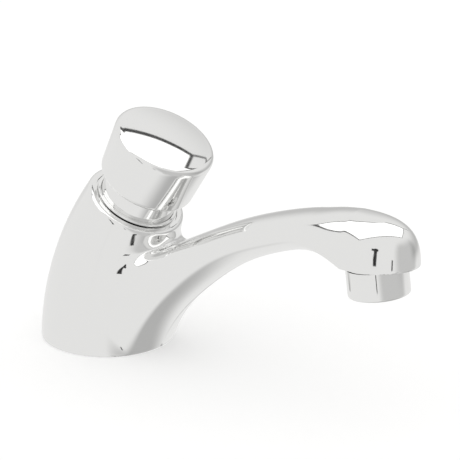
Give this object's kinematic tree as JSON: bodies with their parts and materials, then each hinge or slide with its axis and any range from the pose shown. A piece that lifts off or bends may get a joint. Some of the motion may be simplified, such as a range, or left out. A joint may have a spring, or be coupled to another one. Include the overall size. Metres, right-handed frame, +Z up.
{
  "type": "push timed tap",
  "caption": "Self-closing basin tap with a leaning column, a tilted round press button and a cast spout with aerator.",
  "frame": {"origin": "centre of the round base, on the basin's surface", "axes": "+Z up, +X along the spout towards its tip, symmetric about the XZ plane"},
  "size_m": [0.1835, 0.0572, 0.1029],
  "materials": {
    "chrome_body": "polished chrome plate on a cast brass body",
    "chrome_button": "polished chrome plate, finely turned on top",
    "chrome_ring": "polished chrome plate",
    "chrome_aerator": "polished chrome plate",
    "brass_head": "machined brass",
    "stainless": "plain stainless steel",
    "white_plastic": "moulded acetal",
    "grey_plastic": "moulded acetal",
    "black_rubber": "nitrile rubber"
  },
  "bodies": {
    "root": {"tap_body": "chrome_body", "retaining_ring": "chrome_ring", "aerator_shell": "chrome_aerator", "cartridge_head": "brass_head", "timing_cylinder": "white_plastic", "guide_bush": "white_plastic", "valve_seat": "brass_head", "metering_pin": "stainless", "return_spring": "stainless", "inlet_filter": "stainless", "head_o_ring": "black_rubber", "spindle_o_ring": "black_rubber", "seat_o_ring": "black_rubber", "base_gasket": "black_rubber", "aerator_washer": "black_rubber", "aerator_insert": "grey_plastic", "flow_regulator": "grey_plastic", "flow_straightener": "grey_plastic", "aerator_screen": "stainless"},
    "button": {"push_button": "chrome_button", "spring_cup": "stainless", "spindle_nut": "brass_head", "spindle": "stainless", "piston": "white_plastic", "piston_clip": "stainless", "lip_seal": "black_rubber", "valve_washer": "black_rubber", "washer_cup": "brass_head", "valve_nut": "brass_head"}
  },
  "joints": [
    {"name": "button_press", "type": "slide", "parent": "root", "child": "button", "axis": [-0.4772, 0, -0.8788], "range_m": [0, 0.007], "stiffness_N_per_m": 1500, "springref_m": -0.004, "deforming": ["return_spring"]}
  ]
}
